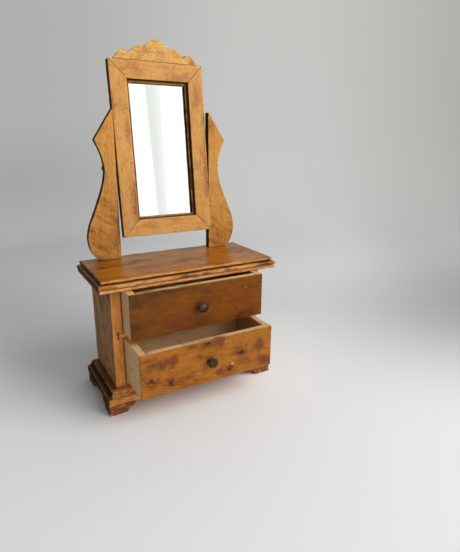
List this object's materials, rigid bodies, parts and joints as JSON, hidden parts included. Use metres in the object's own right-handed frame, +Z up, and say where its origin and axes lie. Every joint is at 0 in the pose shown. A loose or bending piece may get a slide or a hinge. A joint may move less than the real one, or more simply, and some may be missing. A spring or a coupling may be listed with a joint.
{
  "type": "jewelry box",
  "caption": "Wooden jewelry box shaped as a miniature dresser: sliding drawers, moulded top and plinth, bracket feet, and a tilting framed mirror between scroll-cut uprights.",
  "frame": {"origin": "bottom centre of the bounding box on the floor, with the drawers part open and the mirror leaning back", "axes": "+X to the box's right seen from the front, front faces -Y, +Z up"},
  "size_m": [0.1928, 0.1324, 0.356],
  "materials": {
    "top_wood": "shellac, satin, worn",
    "plinth_wood": "shellac, satin, worn at the edges",
    "case_side_wood": "weathered, matte",
    "back_wood": "bare, darkened",
    "interior_wood": "bare",
    "upright_wood": "shellac, satin",
    "frame_wood": "shellac, satin",
    "backing_wood": "bare",
    "drawer_front_wood": "shellac, satin, blotched figure",
    "drawer_wall_wood": "bare",
    "knob_metal": "dark patina",
    "nail_metal": "dark, dull",
    "mirror_silvered": "silvered glass"
  },
  "bodies": {
    "case": {"top_board": "top_wood", "sub_top_board": "top_wood", "plinth_front": "plinth_wood", "plinth_left": "plinth_wood", "plinth_right": "plinth_wood", "foot_front_left": "plinth_wood", "foot_front_right": "plinth_wood", "foot_back_left": "plinth_wood", "foot_back_right": "plinth_wood", "side_panel_left": "case_side_wood", "side_panel_right": "case_side_wood", "back_panel": "back_wood", "shelf": "interior_wood", "bottom_board": "interior_wood", "upright_left": "upright_wood", "upright_right": "upright_wood", "bottom_board_nail": "nail_metal", "back_panel_nail_low_left": "nail_metal", "back_panel_nail_low_right": "nail_metal", "back_panel_nail_high_left": "nail_metal", "back_panel_nail_high_right": "nail_metal", "pivot_screw_left": "nail_metal", "pivot_screw_right": "nail_metal"},
    "mirror": {"mirror_rail_top": "frame_wood", "mirror_rail_bottom": "frame_wood", "mirror_rail_left": "frame_wood", "mirror_rail_right": "frame_wood", "mirror_crest": "frame_wood", "mirror_glass": "mirror_silvered", "mirror_backing": "backing_wood", "backing_brad_low_left": "nail_metal", "backing_brad_low_right": "nail_metal", "backing_brad_high_left": "nail_metal", "backing_brad_high_right": "nail_metal"},
    "upper_drawer": {"upper_drawer_front": "drawer_front_wood", "upper_drawer_side_left": "drawer_wall_wood", "upper_drawer_side_right": "drawer_wall_wood", "upper_drawer_back": "drawer_wall_wood", "upper_drawer_bottom": "interior_wood", "upper_drawer_knob": "knob_metal", "upper_drawer_corner_nail_left": "nail_metal", "upper_drawer_corner_nail_right": "nail_metal", "upper_drawer_side_nail_left": "nail_metal", "upper_drawer_side_nail_right": "nail_metal"},
    "lower_drawer": {"lower_drawer_front": "drawer_front_wood", "lower_drawer_side_left": "drawer_wall_wood", "lower_drawer_side_right": "drawer_wall_wood", "lower_drawer_back": "drawer_wall_wood", "lower_drawer_bottom": "interior_wood", "lower_drawer_knob": "knob_metal", "lower_drawer_corner_nail_left": "nail_metal", "lower_drawer_corner_nail_right": "nail_metal", "lower_drawer_side_nail_left": "nail_metal", "lower_drawer_side_nail_right": "nail_metal"}
  },
  "joints": [
    {"name": "mirror_tilt", "type": "hinge", "parent": "case", "child": "mirror", "pos_m": [0, 0.04916, 0.232], "axis": [1, 0, 0], "range_deg": [-153, 141]},
    {"name": "upper_drawer_slide", "type": "slide", "parent": "case", "child": "upper_drawer", "axis": [0, -1, 0], "range_m": [-0.024, 0.058]},
    {"name": "lower_drawer_slide", "type": "slide", "parent": "case", "child": "lower_drawer", "axis": [0, -1, 0], "range_m": [-0.044, 0.038]}
  ]
}
